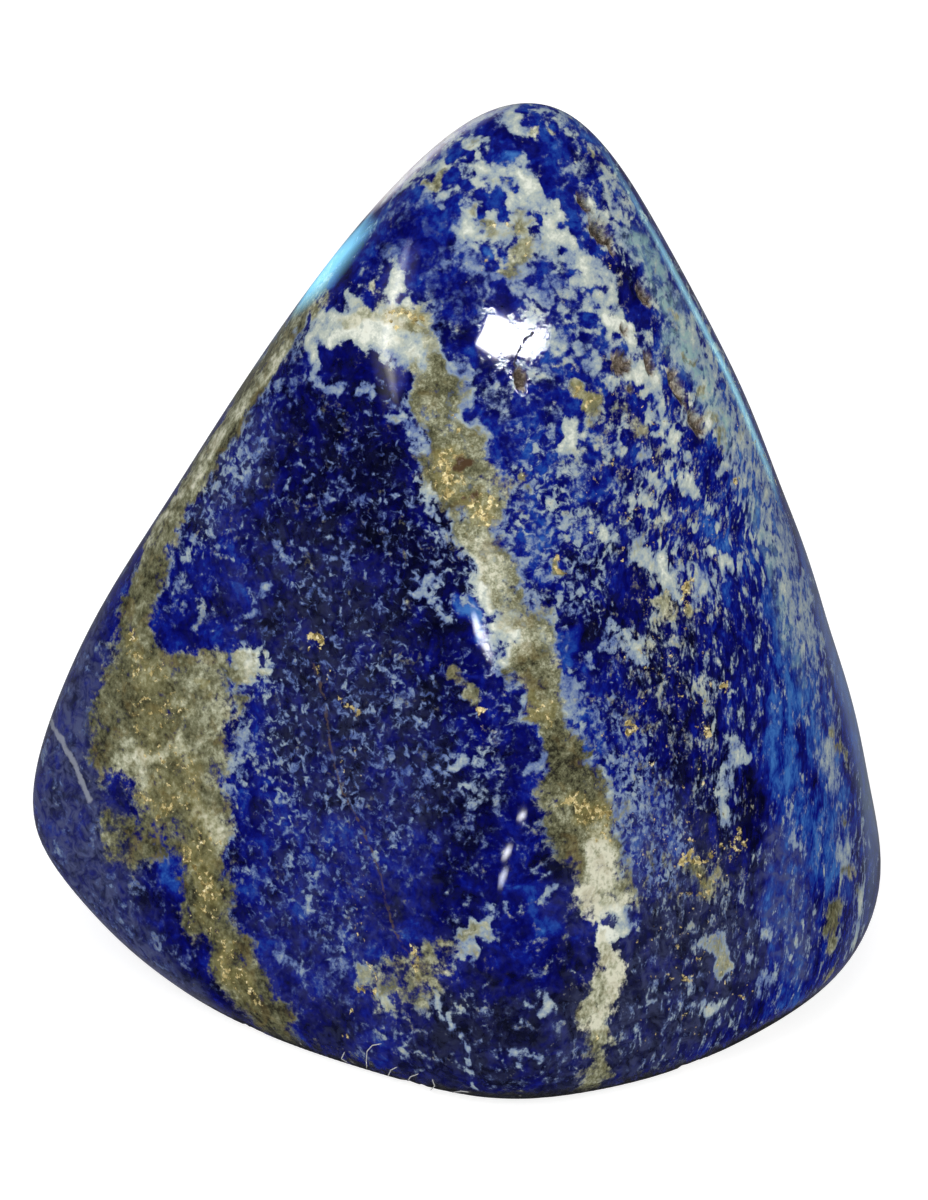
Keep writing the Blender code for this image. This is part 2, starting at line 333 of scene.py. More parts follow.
            (1.2, 8, 312, 345, 318, 372), (-1.4, 13, 334, 358, 368, 362), (1.2, 7, 326, 386, 332, 392),
            (0.9, 8, 356, 396, 364, 384),
        ],
        "white": [
            (1.1, 34, 326, 326, 380, 322, 392, 300),
        ],
        "olive": [
            (0.7, 12, 346, 316, 370, 302), (0.8, 16, 388, 314, 410, 320), (0.4, 10, 424, 334, 430, 350),
        ],
        "gold": [
            (0.6, 12, 386, 316, 408, 318), (0.4, 6, 432, 314, 440, 316),
        ],
    },
    "leftEdge": {
        "pale": [
            (-0.15, 22, 290, 370, 250, 430, 210, 510, 175, 575), (0.5, 7, 262, 440, 250, 470, 236, 500),
            (1.0, 7, 244, 600, 262, 588), (0.9, 5, 284, 556, 292, 568),
        ],
        "tone": [
            (-0.4, 30, 300, 345, 250, 440, 210, 520),
        ],
        "olive": [
            (1.2, 27, 312, 300, 284, 335, 258, 375, 229, 423, 199, 469, 168, 525, 148, 562),
            (1.1, 18, 154, 562, 136, 600, 132, 640),
        ],
        "white": [
            (1.3, 8, 284, 345, 256, 388, 240, 412, 218, 436, 196, 478, 176, 500, 150, 540),
        ],
    },
    "leftBlotch": {
        "olive": [
            (1.0, 24, 140, 620, 142, 650), (1.2, 68, 150, 710, 152, 752),
            (1.0, 13, 106, 684, 101, 728, 108, 772), (0.8, 7, 232, 690, 248, 700),
            (1.2, 44, 196, 690, 190, 800), (0.4, 28, 116, 840, 160, 830), (1.2, 30, 203, 850, 206, 900),
            (1.2, 29, 218, 930, 234, 975), (1.2, 30, 252, 990, 270, 1026),
            (0.7, 12, 236, 668, 262, 676), (-1.4, 16, 160, 632, 186, 640),
            (-1.2, 13, 122, 792, 132, 812), (-0.9, 7, 236, 716, 240, 740),
            (-0.8, 6, 232, 780, 238, 800), (0.7, 6, 226, 756, 240, 766),
        ],
        "pale": [
            (1.1, 10, 240, 664, 270, 674), (0.6, 8, 248, 728, 240, 756, 236, 800),
        ],
        "white": [
            (-0.3, 50, 150, 700, 160, 780), (1.4, 11, 128, 752, 156, 758, 184, 748),
            (1.4, 7, 170, 700, 180, 722, 190, 744), (1.3, 9, 194, 808, 214, 834),
            (0.7, 14, 240, 664, 264, 670), (0.9, 14, 132, 770, 142, 780),
        ],
        "gold": [
            (-0.3, 44, 150, 690, 176, 780), (-0.25, 22, 190, 790, 204, 860, 214, 930, 250, 1000),
            (0.5, 7, 128, 636, 140, 650), (0.5, 8, 186, 644, 206, 652), (0.3, 6, 202, 676, 204, 690),
            (0.4, 5, 118, 784, 146, 798, 174, 806), (0.6, 8, 148, 802, 158, 818),
            (0.5, 11, 184, 858, 200, 872, 208, 896), (0.3, 9, 232, 966, 244, 976),
        ],
        "tone": [
            (0.5, 14, 164, 850, 168, 880),
        ],
    },
    "bottomLeft": {
        "pale": [
            (0.6, 7, 312, 896, 316, 912), (0.8, 8, 284, 952, 292, 966), (0.7, 6, 328, 942, 340, 946),
            (-1.2, 22, 320, 1010, 330, 1040), (1.0, 5, 368, 978, 376, 992, 384, 1000),
        ],
        "tone": [
            (-0.7, 26, 320, 1010, 330, 1040),
        ],
        "olive": [
            (0.05, 26, 376, 988, 400, 992, 430, 968), (0.9, 7, 416, 970, 432, 962),
        ],
        "white": [
            (0.4, 30, 376, 988, 430, 968),
        ],
        "gold": [
            (0.5, 7, 412, 958, 424, 978), (0.5, 5, 372, 978, 378, 998), (1.2, 5, 356, 990, 362, 994),
            (1.2, 5, 345, 1013, 350, 1017), (1.1, 5, 348, 1040, 355, 1044),
        ],
    },
    "bottom": {
        "pale": [
            (1.1, 13, 464, 946, 482, 928), (1.0, 8, 498, 918, 518, 910), (-1.0, 22, 530, 920, 570, 940),
            (-1.3, 9, 486, 960, 502, 964), (1.0, 8, 530, 1010, 548, 1004),
            (-1.4, 13, 560, 984, 580, 996), (1.0, 8, 512, 1054, 538, 1058),
            (0.9, 5, 434, 996, 452, 1020, 464, 1050, 474, 1080),
        ],
        "olive": [
            (0.1, 12, 464, 944, 480, 932),
        ],
        "white": [
            (0.2, 20, 468, 946, 480, 930),
        ],
        "tone": [
            (-1.0, 20, 540, 1080, 560, 1050),
        ],
    },
    "rightLow": {
        "pale": [
            (0.9, 13, 736, 750, 730, 776), (1.1, 10, 720, 800, 728, 818),
            (-1.5, 13, 750, 786, 752, 830), (-1.4, 15, 690, 820, 712, 836),
            (-1.2, 16, 776, 736, 780, 780), (-1.2, 10, 800, 730, 814, 800),
            (0.9, 16, 828, 750, 834, 790), (1.0, 11, 842, 836, 848, 860), (0.6, 8, 792, 818, 800, 850),
            (0.9, 6, 748, 908, 750, 952), (0.9, 11, 706, 942, 726, 962), (0.9, 9, 698, 998, 704, 1018),
            (0.9, 7, 718, 998, 722, 1016), (1.0, 8, 860, 880, 861, 915, 852, 950),
            (-0.3, 22, 790, 900, 800, 960, 796, 1000), (0.9, 7, 768, 932, 762, 996),
        ],
        "white": [
            (0.2, 14, 736, 750, 728, 818), (-0.5, 14, 842, 836, 848, 860),
            (0.3, 30, 706, 942, 712, 1010), (0.3, 10, 860, 880, 861, 915, 852, 950),
        ],
        "tone": [
            (-1.2, 14, 750, 786, 752, 830), (1.2, 18, 776, 736, 780, 780),
            (1.1, 14, 812, 640, 830, 720, 846, 800), (-0.3, 10, 800, 730, 814, 800),
            (0.9, 22, 778, 900, 796, 960, 790, 1000),
        ],
        "olive": [
            (0.6, 10, 832, 728, 848, 762), (0.7, 7, 840, 816, 846, 828), (0.8, 8, 846, 868, 856, 876),
            (1.0, 10, 836, 906, 832, 940, 828, 972), (0.3, 9, 706, 942, 726, 962),
            (0.2, 6, 680, 908, 682, 932), (0.4, 14, 694, 866, 714, 884),
        ],
        "gold": [
            (0.8, 5, 674, 890, 676, 895), (0.8, 6, 718, 694, 738, 684), (0.7, 6, 704, 718, 709, 734),
            (0.8, 10, 690, 850, 706, 862, 738, 842), (0.6, 8, 698, 884, 712, 886),
            (1.0, 6, 690, 976, 694, 986), (0.9, 5, 741, 1004, 746, 1006), (0.8, 5, 785, 958, 789, 962),
        ],
    },
    "smallGold": {
        "gold": [
            (0.9, 5, 303, 647, 312, 632, 326, 640), (0.8, 5, 317, 668, 318, 674),
            (0.8, 6, 346, 696, 358, 714), (1.2, 4, 432, 520, 434, 527), (0.9, 4, 636, 484, 637, 488),
            (0.7, 5, 738, 472, 740, 478), (0.8, 5, 716, 975, 718, 978),
        ],
    },
}

# Strokes on the sides and the back, which the picture does not show. Half widths are in millimetres,
# and the lines run through azimuths in degrees and heights in millimetres, in turn.
farStrokes = {
    "pale": [
        (-0.2, 11, 100, 62, 140, 48, 165, 60), (-0.8, 12, 190, 22, 215, 44),
        (0.5, 3.6, 266, 60, 240, 50, 214, 38, 196, 24, 188, 8),
        (0.4, 2.4, 104, 6, 124, 24, 146, 42, 158, 60),
    ],
    "round": [
        (0.8, 12, 90, 66, 150, 62, 200, 66),
    ],
    "white": [
        (0.3, 10, 100, 62, 160, 60), (1.3, 0.8, 240, 48, 216, 39, 198, 26),
        (1.4, 1.0, 238, 20, 224, 18), (1.0, 1.4, 132, 31, 140, 38),
    ],
    "fleck": [
        (0.9, 12, 190, 22, 230, 40, 180, 56),
    ],
    "tone": [
        (-1.0, 12, 196, 24, 224, 40), (0.8, 7, 100, 26, 120, 44, 112, 14),
    ],
    "greyHazeAndReflection": [
        (0.7, 12, 235, 12, 180, 10, 130, 14),
    ],
    "olive": [
        (1.1, 1.9, 270, 56, 246, 50, 224, 42, 204, 32, 194, 20, 186, 4), (1.2, 4.6, 232, 20, 222, 16),
        (1.1, 2.6, 226, 12, 232, 2), (1.0, 1.2, 108, 8, 122, 22, 132, 31), (0.9, 1.5, 140, 38, 150, 48),
        (0.6, 1.6, 164, 68, 176, 66),
    ],
    "gold": [
        (-0.1, 4.4, 232, 20, 222, 12), (0.3, 1.4, 214, 38, 206, 33), (0.2, 1.2, 190, 12, 188, 6),
        (0.2, 1.1, 142, 40, 146, 44), (-0.55, 12, 110, 50, 130, 20, 160, 34, 200, 58),
        (0.8, 0.4, 172, 30, 174, 31), (0.8, 0.5, 118, 56, 120, 57),
    ],
}

# How strokes wander: sets of waves, each with its wavelength and its push in metres
wandering = {"seed": 7, "wavesInSet": 8, "sets": ((0.0060, 0.00045), (0.0028, 0.00034), (0.0014, 0.00022))}

# Where broken rock and painted shade show, in metres: the pits, and the foot and the underside of the
# front, which are painted dark as shade. A surface that looks straight down leans by 1.
rockAndShade = {
    "readOutside": 0.00003,
    "pitEdge": 0.9,
    "pitFade": 0.00010,
    "deepAt": 0.0004,
    "rimOutside": 0.00006,
    "rimWidth": 0.00014,
    "footHeight": 0.0032,
    "underShadeLean": 0.36,
    "underShadeLeanFade": 0.34,
    "underShadeLeft": 0.45,                     # how much of the painted shade under the front the left end keeps
    "underShadeMiddle": 0.6,
    "underShadeWidth": 0.03,
    "underShadeFront": 0.5,
    "underShadeDepth": 0.016,
}

print("values read")


def direction(azimuth, tilt):
    # The unit vector that looks to this azimuth and this far up.
    turn, rise = np.radians(azimuth), np.radians(tilt)
    return np.array((np.sin(turn) * np.cos(rise), -np.cos(turn) * np.cos(rise), np.sin(rise)))


def unit(vectors):
    # Every vector made one long.
    return vectors / np.linalg.norm(vectors, axis=1)[:, None]


def quadsBetween(corner):
    # The four corners of every cell of a grid of point numbers, or of a stack of such grids.
    four = (corner[..., :-1, :-1], corner[..., 1:, :-1], corner[..., 1:, 1:], corner[..., :-1, 1:])
    return np.stack(four, axis=-1).reshape(-1, 4)


def softMax(depths, softness):
    # The greatest of several distances, with the corner between two of them rounded.
    most = depths.max(axis=0)
    return most + softness * np.log(np.exp((depths - most) / softness).sum(axis=0))


def roundOutside(points):
    # Distance outside the ground stone without its foot: every face is a very large ball, the stone
    # is what all the balls share, and the waves of the polish are added.
    depths = []
    for azimuth, tilt, reach, height, crown in stone["faces"].values():
        touch = direction(azimuth, 0) * reach + np.array((0, 0, height))
        centre = touch - direction(azimuth, tilt) * crown
        depths.append(np.linalg.norm(points - centre, axis=1) - crown)
    outside = softMax(np.array(depths), stone["softness"])
    for swell, wavelength, azimuth, tilt, phase in stone["polishWaves"]:
        along = points @ direction(azimuth, tilt)
        outside += swell * np.sin(2 * math.pi * along / wavelength + phase)
    return outside


def leave(outsideBy, starts, ways):
    # Where lines from points inside the stone leave it, by halving the line again and again.
    near, far = np.zeros(len(ways)), np.full(len(ways), stone["farthest"])
    for _ in range(stone["halvings"]):
        middle = (near + far) / 2
        inside = outsideBy(starts + ways * middle[:, None]) < 0
        near, far = np.where(inside, middle, near), np.where(inside, far, middle)
    return starts + ways * near[:, None]


def slopes(outsideBy, points):
    # The outward normal: how the distance grows along the three axes.
    step = 2e-6
    rise = [outsideBy(points + way) - outsideBy(points - way) for way in np.eye(3) * step]
    return unit(np.array(rise).T)


def gridWays(steps):
    # Six square patches of directions that close into a ball. The two parameters of a patch run
    # from -45 to 45 degrees, and all directions then lean to the front, where the detail is.
    angles = np.radians(np.linspace(-45, 45, steps + 1))
    u, v = np.meshgrid(np.tan(angles), np.tan(angles), indexing="ij")
    ones = np.ones_like(u)
    patches = [
        (ones, u, v), (-ones, -u, v), (-u, ones, v), (u, -ones, v), (-v, u, ones), (v, u, -ones),
    ]
    ways = unit(np.stack([np.stack(patch, axis=-1) for patch in patches]).reshape(-1, 3))
    corner = np.arange(6 * (steps + 1) ** 2).reshape(6, steps + 1, steps + 1)
    unique, place = np.unique(np.round(ways, 9), axis=0, return_inverse=True)
    lean = direction(0, view["elevation"]) * stone["frontCrowding"]
    return unit(unique + lean), place.reshape(-1)[quadsBetween(corner)]


def standingOutside(points):
    # The ground stone, sawn off at its foot with a small rounding.
    return softMax(np.array((roundOutside(points), -points[:, 2])), stone["footSoftness"])


# The stone is scaled and shifted so that its box is the CAD node's box
heart = np.array(stone["heart"])
ways, quads = gridWays(stone["gridSteps"])
starts = heart + ways * (0, 0, stone["spine"])
plainPoints = leave(standingOutside, starts, ways)
low, high = (np.array(corner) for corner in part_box("lapis_stone"))
scale = (high[2] - low[2]) / np.ptp(plainPoints[:, 2])
shift = (low + high) / 2 - scale * (plainPoints.min(axis=0) + plainPoints.max(axis=0)) / 2
print("stone scaled by", round(float(scale), 5), "and shifted by", (shift * 1000).round(3), "mm")

# The camera's own place and ways, used to bring a picture pixel onto the stone
viewBack = direction(0, view["elevation"])
viewUp = np.array((0, math.sin(math.radians(view["elevation"])), math.cos(math.radians(view["elevation"]))))
viewRight = np.array((1.0, 0, 0))
eye = np.array(view["aim"]) + viewBack * view["distance"]


def onStone(pixels, outsideBy=roundOutside):
    # The point of the stone that each picture pixel shows. A line that misses the stone gives the
    # point where it passes closest.
    pixels = np.array(pixels, float)
    across = (pixels[:, 0] - view["pictureMiddle"][0]) * view["metresPerPixel"]
    down = (pixels[:, 1] - view["pictureMiddle"][1]) * view["metresPerPixel"]
    rays = unit(across[:, None] * viewRight - down[:, None] * viewUp - viewBack * view["distance"])
    tries = view["distance"] + np.linspace(-view["searchReach"], view["searchReach"], view["searchSteps"])
    places = (eye + rays[:, None, :] * tries[None, :, None] - shift) / scale
    depth = outsideBy(places.reshape(-1, 3)).reshape(len(rays), -1)
    inside = depth < 0
    first = np.where(inside.any(axis=1), inside.argmax(axis=1), depth.argmin(axis=1))
    rows = np.arange(len(rays))
    before = np.maximum(first - 1, 0)
    share = depth[rows, before] / (depth[rows, before] - depth[rows, first])
    share = np.where(inside.any(axis=1), share, 1)
    found = tries[before] + (tries[first] - tries[before]) * share
    return eye + rays * found[:, None]


def hollowFrames():
    # Every pit and chip as an ellipsoid: its centre, its three ways and its three half sizes.
    hollows = []
    for start, end, width, depth in stone["pits"].values():
        a, b = (onStone([start, end]) - shift) / scale
        centre = (a + b) / 2
        out = slopes(roundOutside, centre[None])[0]
        side = unit(np.cross(out, b - a)[None])[0]
        along = np.cross(side, out)
        length = np.linalg.norm(b - a) / 2 + width * 0.25
        hollows.append((centre, np.array((along, side, out)), np.array((length, width / 2, depth))))
    for azimuth, length, width, depth in stone["chips"].values():
        centre = leave(roundOutside, heart[None] * (1, 1, 0), direction(azimuth, 0)[None])[0]
        out = direction(azimuth, -40)
        along = direction(azimuth + 90, 0)
        axes = np.array((along, np.cross(out, along), out))
        hollows.append((centre, axes, np.array((length / 2, width / 2, depth))))
    return hollows


hollows = hollowFrames()


def ruggedness(points):
    # A crumbly unevenness for broken places: three crossed waves of about half a millimetre.
    x, y, z = (points * 2 * math.pi / stone["crumbWave"]).T
    first = np.sin(x + 1.3 * np.sin(z * 0.7))
    second = np.sin(y * 1.2 + np.sin(x * 0.6))
    third = np.sin(z * 0.9 + 2 * np.sin(y * 0.5))
    return (first + second + third) / 3


def hollowDepth(points):
    # How deep a point lies in the nearest pit or chip, in metres: above zero inside it.
    deepest = np.full(len(points), -1.0)
    rough = ruggedness(points) * stone["crumbShare"]
    for centre, axes, half in hollows:
        scaled = (points - centre) @ axes.T / half
        deepest = np.maximum(deepest, (1 - np.linalg.norm(scaled, axis=1) * (1 + rough)) * half.min())
    return deepest


def carvedOutside(points):
    # The standing stone with its pits and chips taken out, their edges a little rounded.
    return softMax(np.array((standingOutside(points), hollowDepth(points))), stone["hollowSoftness"])


stonePoints = leave(carvedOutside, starts, ways)
stoneNormals = slopes(carvedOutside, stonePoints)
framePoints = stonePoints * scale + shift
print("stone surface of", len(framePoints), "points and", 2 * len(quads), "triangles")


def strokeDistance(points, line):
    # The distance from every point to a broken line in space.
    nearest = np.full(len(points), np.inf)
    for a, b in zip(line[:-1], line[1:]):
        along = b - a
        share = np.clip((points - a) @ along / (along @ along), 0, 1)
        nearest = np.minimum(nearest, np.linalg.norm(points - a - share[:, None] * along, axis=1))
    return nearest


def wander(points):
    # Strokes are laid on a place that wanders: three sets of crossed waves, each with waves
    # crossed in random ways, push every point about by a share of their wavelength.
    draw = np.random.default_rng(wandering["seed"])
    moved = points.copy()
    for wavelength, push in wandering["sets"]:
        for _ in range(wandering["wavesInSet"]):
            way = draw.normal(size=3)
            way /= np.linalg.norm(way)
            phase = draw.uniform(0, 2 * math.pi)
            swing = np.sin(points @ way * 2 * math.pi / wavelength * draw.uniform(0.7, 1.4) + phase)
            moved += swing[:, None] * draw.normal(size=3) * push / 2.2
    return moved


def aroundStone(places):
    # The points of the stone at these azimuths (degrees) and heights (millimetres).
    turns, heights = np.array(places, float).T
    inner = np.stack((heart[0] + 0 * turns, heart[1] + 0 * turns, heights / 1000), axis=1)
    ways = np.array([direction(turn, 0) for turn in turns])
    return leave(roundOutside, inner, ways) * scale + shift


def paintFields(points):
    # Every stroke covers what is under it: wholly up to half its half width, and then less and
    # less until one and a half times its half width.
    fields = {name: np.full(len(points), value) for name, value in fieldStart.items()}
    points = wander(points)
    layers = [(farStrokes, 0.001, aroundStone)]
    layers += [(group, view["metresPerPixel"], onStone) for group in strokes.values()]
    for group, unitSize, bringOn in layers:
        for name, laid in group.items():
            for value, half, *places in laid:
                line = bringOn(np.reshape(places, (-1, 2)))
                fade = np.clip(1.5 - strokeDistance(points, line) / (half * unitSize), 0, 1)
                cover = fade * fade * (3 - 2 * fade)
                fields[name] = fields[name] * (1 - cover) + value * cover
    return fields


def rockAndShadeFields():
    # What lies in a hollow is bare broken rock, with painted shade deeper in. The foot is rough, and its
    # lowest part is painted dark as contact shade; painted shade also lies where the front faces down.
    hollowness = hollowDepth(stonePoints + stoneNormals * rockAndShade["readOutside"])
    across, depth, height = framePoints[:, 0], framePoints[:, 1], stonePoints[:, 2]
    underShade = np.clip((-stoneNormals[:, 2] - rockAndShade["underShadeLean"]) / rockAndShade["underShadeLeanFade"], 0, 1)
    underShade *= np.clip(rockAndShade["underShadeMiddle"] + across / rockAndShade["underShadeWidth"], rockAndShade["underShadeLeft"], 1)
    underShade *= np.clip(rockAndShade["underShadeFront"] - depth / rockAndShade["underShadeDepth"], 0, 1)
    return {
        "pit": np.clip(hollowness / rockAndShade["pitFade"] + rockAndShade["pitEdge"], 0, 1),
        "pitShade": np.clip(hollowness / rockAndShade["deepAt"], 0, 1),
        "rim": np.clip(1 - np.abs(hollowness + rockAndShade["rimOutside"]) / rockAndShade["rimWidth"], 0, 1),
        "foot": np.clip(1 - height / rockAndShade["footHeight"], 0, 1),
        "underShade": np.maximum(fields["underShade"], underShade),
    }


fields = paintFields(framePoints)
fields.update(rockAndShadeFields())
print("mineral painted in", len(fields), "fields")


def makeMesh(name, points, faces, normals=None):
    # A smooth mesh from arrays of points and faces, with the points' own normals where given.
    mesh = bpy.data.meshes.new(name)
    mesh.vertices.add(len(points))
    mesh.vertices.foreach_set("co", points.astype(np.float32).ravel())
    mesh.loops.add(faces.size)
    mesh.loops.foreach_set("vertex_index", faces.astype(np.int32).ravel())
    mesh.polygons.add(len(faces))
    mesh.polygons.foreach_set("loop_start", np.arange(0, faces.size, faces.shape[1], dtype=np.int32))
    mesh.polygons.foreach_set("use_smooth", np.ones(len(faces), bool))
    mesh.update(calc_edges=True)
    mesh.validate()
    if normals is not None:
        mesh.normals_split_custom_set_from_vertices(normals.astype(np.float32))
    made = bpy.data.objects.new(name, mesh)
    bpy.context.scene.collection.objects.link(made)
    return made


lapis = makeMesh("lapis_freeform", framePoints, quads, stoneNormals)
for name, values in fields.items():
    layer = lapis.data.attributes.new(name, "FLOAT", "POINT")
    layer.data.foreach_set("value", values.astype(np.float32))
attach(lapis, "root")
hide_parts("lapis_stone")
print("stone made")


def plainMaterial(name, sockets):
    material = bpy.data.materials.new(name)
    material.use_nodes = True
    for label, value in sockets.items():
        material.node_tree.nodes["Principled BSDF"].inputs[label].default_value = value
    return material


# A few dust fibres that cling to the foot. Each is a line of picture pixels with how far each of its
# points stands off the stone, in millimetres
fibre = {"radius": 0.000045, "sides": 6, "stepsPerPoint": 6, "taper": 0.6, "tip": 0.02, "lines": {
    "hooked":  (((367, 1068, 0.05), (368, 1058, 0.3), (370, 1048, 0.5), (376, 1042, 0.6), (385, 1041, 0.5))),
    "lowA":    (((408, 1080, 0.05), (412, 1074, 0.3), (420, 1072, 0.2))),
    "lowB":    (((430, 1090, 0.05), (436, 1083, 0.3), (433, 1077, 0.2))),
    "lowC":    (((348, 1062, 0.05), (343, 1056, 0.3), (346, 1050, 0.2))),
    "lowD":    (((452, 1092, 0.05), (462, 1088, 0.3), (470, 1090, 0.2))),
    "lowE":    (((388, 1076, 0.05), (392, 1068, 0.25), (398, 1066, 0.1))),
}}


def fibreSurface():
    # Along a line and around it: every point of the line gets a ring, whose half size shrinks to
    # nothing at the two ends.
    points = []
    faces = []
    count = 0
    turns = np.arange(fibre["sides"]) * 2 * math.pi / fibre["sides"]
    for stops in fibre["lines"].values():
        stops = np.array(stops, float)
        fine = np.linspace(0, len(stops) - 1, fibre["stepsPerPoint"] * len(stops))
        stops = np.stack([np.interp(fine, np.arange(len(stops)), column) for column in stops.T], axis=1)
        base = onStone(stops[:, :2], standingOutside)
        out = slopes(standingOutside, (base - shift) / scale)
        line = base + out * stops[:, 2:] / 1000
        along = np.gradient(line, axis=0)
        side = unit(np.cross(along, out))
        up = unit(np.cross(side, along))
        steps = np.arange(len(line))
        growth = np.minimum(steps, steps[::-1]) * fibre["taper"] + fibre["tip"]
        thick = fibre["radius"] * np.minimum(1, growth)
        ring = side[:, None] * np.cos(turns)[None, :, None] + up[:, None] * np.sin(turns)[None, :, None]
        points.append((line[:, None] + ring * thick[:, None, None]).reshape(-1, 3))
        place = count + np.arange(ring.size // 3).reshape(len(line), -1)
        count += place.size
        after = np.roll(place, -1, axis=1)
        faces.append(np.stack((place[:-1], after[:-1], after[1:], place[1:]), axis=-1).reshape(-1, 4))
    return np.concatenate(points), np.concatenate(faces)


fibres = makeMesh("dust_fibres", *fibreSurface())
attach(fibres, "root")
fibres.data.materials.append(plainMaterial("dust_grey", {
    "Base Color": (0.42, 0.42, 0.42, 1),
    "Roughness": 0.9,
}))
print("dust fibres made")

# Node helpers: a value is a number, a colour or another node's socket
def hexColour(code):
    # A colour as it looks on screen, turned to the linear values that shaders use.
    parts = [int(code[k:k + 2], 16) / 255 for k in (1, 3, 5)]
    return tuple(p / 12.92 if p <= 0.04045 else ((p + 0.055) / 1.055) ** 2.4 for p in parts) + (1,)


def feed(tree, socket, value):
    if isinstance(value, bpy.types.NodeSocket):
        tree.links.new(value, socket)
    else:
        socket.default_value = value


def addNode(tree, kind, sockets=None, **settings):
    made = tree.nodes.new(kind)
    for name, value in settings.items():
        setattr(made, name, value)
    for name, value in (sockets or {}).items():
        feed(tree, made.inputs[name], value)
    return made


def maths(tree, operation, *values):
    made = addNode(tree, "ShaderNodeMath", operation=operation)
    for k, value in enumerate(values):
        feed(tree, made.inputs[k], value)
    return made.outputs[0]


def vectorMaths(tree, operation, first, second=None, scale=None):
    made = addNode(tree, "ShaderNodeVectorMath", {0: first}, operation=operation)
    if second is not None:
        feed(tree, made.inputs[1], second)
    if scale is not None:
        feed(tree, made.inputs["Scale"], scale)
    return made.outputs["Value" if operation in ("DOT_PRODUCT", "DISTANCE") else "Vector"]


def ramp(tree, value, stops):
    made = addNode(tree, "ShaderNodeValToRGB", {"Fac": value})
    band = made.color_ramp
    while len(band.elements) < len(stops):
        band.elements.new(0.5)
    for element, (place, code) in zip(band.elements, stops):
        element.position = place
        element.color = hexColour(code)
    return made.outputs["Color"]


def blend(tree, share, below, above):
    made = addNode(tree, "ShaderNodeMix", data_type="RGBA")
    for name, value in (("Factor_Float", share), ("A_Color", below), ("B_Color", above)):
        feed(tree, next(s for s in made.inputs if s.identifier == name), value)
    return next(s for s in made.outputs if s.identifier == "Result_Color")


def newGroup(name, inputs, outputs):
    group = bpy.data.node_groups.new(name, "ShaderNodeTree")
    for label, kind, start in inputs:
        socket = group.interface.new_socket(name=label, in_out="INPUT", socket_type=kind)
        if start is not None:
            socket.default_value = start
    for label, kind in outputs:
        group.interface.new_socket(name=label, in_out="OUTPUT", socket_type=kind)
    return group, group.nodes.new("NodeGroupInput").outputs, group.nodes.new("NodeGroupOutput").inputs


def useGroup(tree, group, **values):
    made = tree.nodes.new("ShaderNodeGroup")
    made.node_tree = group
    for name, value in values.items():
        feed(tree, made.inputs[name], value)
    return made.outputs


def foliationGroup():
    # Layers: x grows faster and faster past a start, so that a pattern read there is thin across the
    # layers and long within them. The layers bend: a layer is where x + bend * (z - level)^2 is the same.
    group, given, result = newGroup("layered_place", [
        ("Place", "NodeSocketVector", None),
        ("Start", "NodeSocketFloat", 0.010),
        ("Squeeze", "NodeSocketFloat", 60.0),
        ("Bend", "NodeSocketFloat", 6.0),
        ("Level", "NodeSocketFloat", 0.028),
        ("Calm above", "NodeSocketFloat", 0.045),
    ], [("Place", "NodeSocketVector")])
    parts = addNode(group, "ShaderNodeSeparateXYZ", {"Vector": given["Place"]}).outputs
    above = maths(group, "SUBTRACT", parts["Z"], given["Level"])
    bent = maths(group, "MULTIPLY", maths(group, "MULTIPLY", above, above), given["Bend"])
    layer = maths(group, "ADD", parts["X"], bent)
    high = maths(group, "MAXIMUM", maths(group, "SUBTRACT", parts["Z"], given["Calm above"]), 0.0)
    start = maths(group, "MULTIPLY_ADD", high, 0.55, given["Start"])
    past = maths(group, "MAXIMUM", maths(group, "SUBTRACT", layer, start), 0.0)
    extra = maths(group, "MULTIPLY", maths(group, "MULTIPLY", past, past), given["Squeeze"])
    moved = addNode(group, "ShaderNodeCombineXYZ", {
        "X": maths(group, "ADD", parts["X"], extra), "Y": parts["Y"], "Z": parts["Z"],
    })
    group.links.new(moved.outputs[0], result["Place"])
    return group


def fractalGroup():
    # Broken detail: a fractal noise spread out so that most of it lies between -1 and 1.
    group, given, result = newGroup("broken_detail", [
        ("Place", "NodeSocketVector", None),
        ("Scale", "NodeSocketFloat", 500.0),
        ("Octaves", "NodeSocketFloat", 6.0),
        ("Roughness", "NodeSocketFloat", 0.65),
        ("Curl", "NodeSocketFloat", 0.0),
        ("Offset", "NodeSocketVector", (0, 0, 0)),
        ("Spread", "NodeSocketFloat", 6.0),
    ], [("Value", "NodeSocketFloat")])
    noise = addNode(group, "ShaderNodeTexNoise", {
        "Vector": vectorMaths(group, "ADD", given["Place"], given["Offset"]), "Scale": given["Scale"],
        "Detail": given["Octaves"], "Roughness": given["Roughness"], "Distortion": given["Curl"],
    })
    middle = maths(group, "SUBTRACT", noise.outputs["Fac"], 0.5)
    group.links.new(maths(group, "MULTIPLY", middle, given["Spread"]), result["Value"])
    return group


def edgeGroup():
    # A mask that rises from nothing to whole around zero, over a given softness.
    group, given, result = newGroup("mineral_edge", [
        ("Value", "NodeSocketFloat", 0.0),
        ("Level", "NodeSocketFloat", 0.0),
        ("Softness", "NodeSocketFloat", 0.1),
    ], [("Mask", "NodeSocketFloat")])
    low = maths(group, "SUBTRACT", given["Level"], given["Softness"])
    high = maths(group, "ADD", given["Level"], given["Softness"])
    made = addNode(group, "ShaderNodeMapRange", {
        "Value": given["Value"], "From Min": low, "From Max": high,
    }, interpolation_type="SMOOTHSTEP")
    group.links.new(made.outputs["Result"], result["Mask"])
    return group


